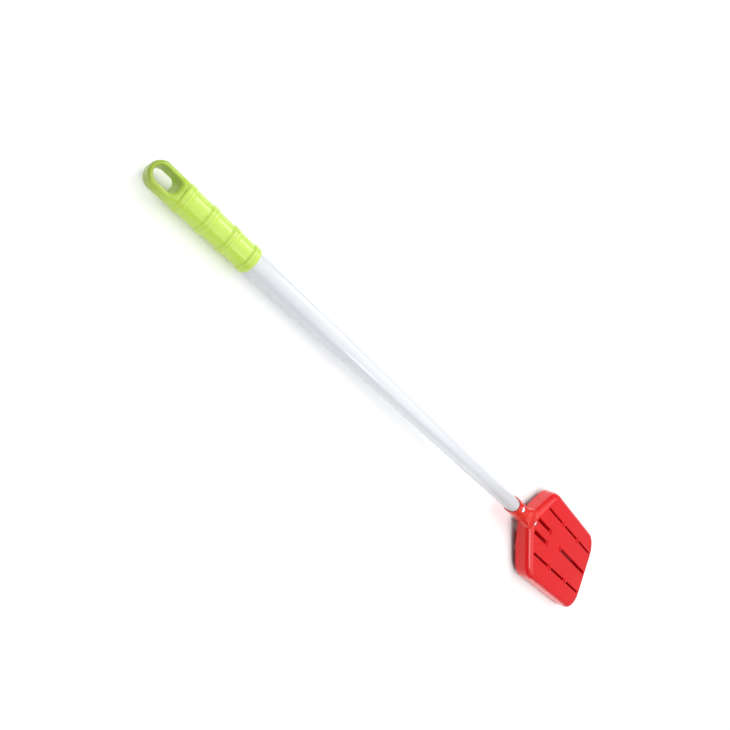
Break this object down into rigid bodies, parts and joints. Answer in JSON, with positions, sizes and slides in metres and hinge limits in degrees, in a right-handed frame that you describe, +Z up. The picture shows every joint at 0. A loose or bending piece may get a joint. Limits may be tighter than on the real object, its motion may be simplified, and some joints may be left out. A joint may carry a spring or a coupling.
{
  "type": "fly swatter",
  "caption": "Fly swatter: moulded slotted head with a deep rim, riveted to a thin straight tube, and a ringed sleeve grip with a hanging eye.",
  "frame": {"origin": "bottom centre of the bounding box, on the surface that the swatter lies on", "axes": "+X from the grip to the head's far edge, +Z up out of the head's front face, Y across the head"},
  "size_m": [0.6718, 0.0992, 0.0281],
  "materials": {
    "head_plastic": "satin gloss red moulding",
    "tube_paint": "white powder coat on thin steel tube",
    "plug_plastic": "plain natural plastic",
    "rivet_metal": "bright domed head",
    "grip_plastic": "glossy lime-green moulding"
  },
  "bodies": {
    "root": {"head": "head_plastic", "shaft_tube": "tube_paint", "socket_plug": "plug_plastic", "head_rivets": "rivet_metal", "grip": "grip_plastic", "grip_plug": "plug_plastic"}
  },
  "joints": []
}
